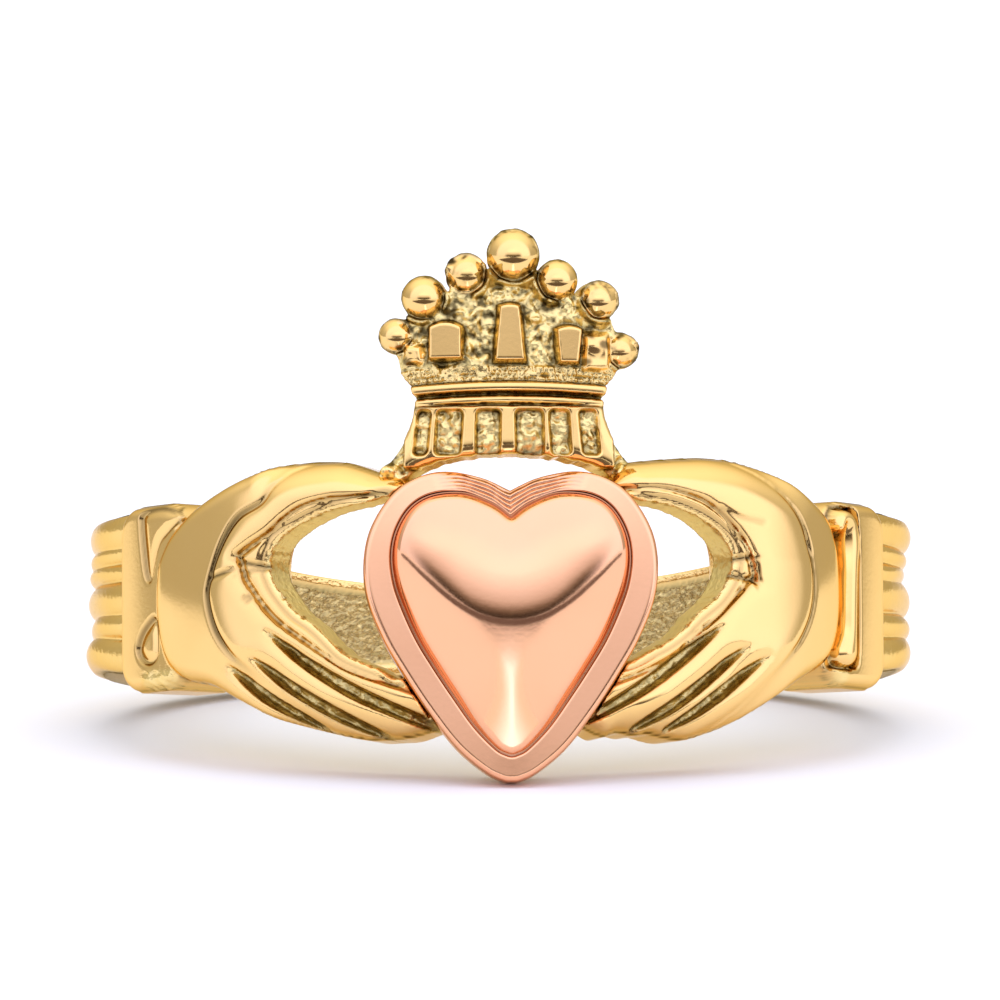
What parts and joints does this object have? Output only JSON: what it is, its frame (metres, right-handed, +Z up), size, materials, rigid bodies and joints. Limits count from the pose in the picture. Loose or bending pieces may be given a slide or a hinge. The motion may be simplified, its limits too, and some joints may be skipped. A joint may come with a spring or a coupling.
{
  "type": "claddagh ring",
  "caption": "Two-tone claddagh ring: yellow gold hands with ridged shank and cuffs hold a puffed rose gold heart under a crown with balls",
  "frame": {"origin": "on the floor, under the middle of the box around the ring as it lies on its side", "axes": "+Z up, the heart and crown face -Y, +X to the right seen from the front; the finger axis leans back from +Z by about 11 degrees"},
  "size_m": [0.0204, 0.0224, 0.013],
  "materials": {
    "yellow_gold": "polished yellow gold, cast and matte in the recesses and inside the band",
    "rose_gold": "polished rose gold"
  },
  "bodies": {
    "root": {"ring_body": "yellow_gold", "heart": "rose_gold"}
  },
  "joints": []
}
